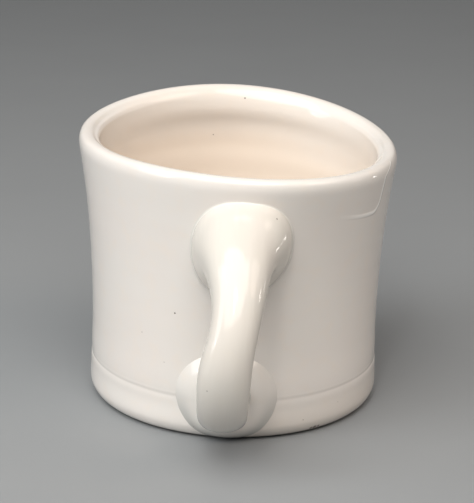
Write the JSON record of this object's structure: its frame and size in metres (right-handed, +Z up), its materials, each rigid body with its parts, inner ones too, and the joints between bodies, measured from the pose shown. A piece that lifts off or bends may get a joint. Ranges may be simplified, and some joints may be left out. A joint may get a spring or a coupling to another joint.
{
  "type": "shaving mug",
  "caption": "Hand-thrown shaving mug with a waisted wall, a rolled lip that leans, and one pulled handle whose tail is pressed onto a round pad above the foot.",
  "frame": {"origin": "the point on the table under the cup's axis, at the middle of the foot ring", "axes": "+Z up; the handle points along -Y; +X is on the right when the mug is seen from the handle's side"},
  "size_m": [0.1001, 0.1324, 0.0888],
  "materials": {
    "glazed_body": "glossy off-white glaze",
    "glazed_handle": "glossy off-white glaze, pooled a little thicker",
    "glazed_seam": "glossy off-white glaze over smoothed slip",
    "bare_clay": "unglazed, matt, trimmed and sponged"
  },
  "bodies": {
    "root": {"thrown_wall": "glazed_body", "rolled_lip": "glazed_body", "foot_band": "glazed_body", "cup_floor": "glazed_body", "foot_ring": "bare_clay", "handle": "glazed_handle", "lower_pad": "glazed_handle", "root_seam": "glazed_seam", "tail_seam": "glazed_seam"}
  },
  "joints": []
}
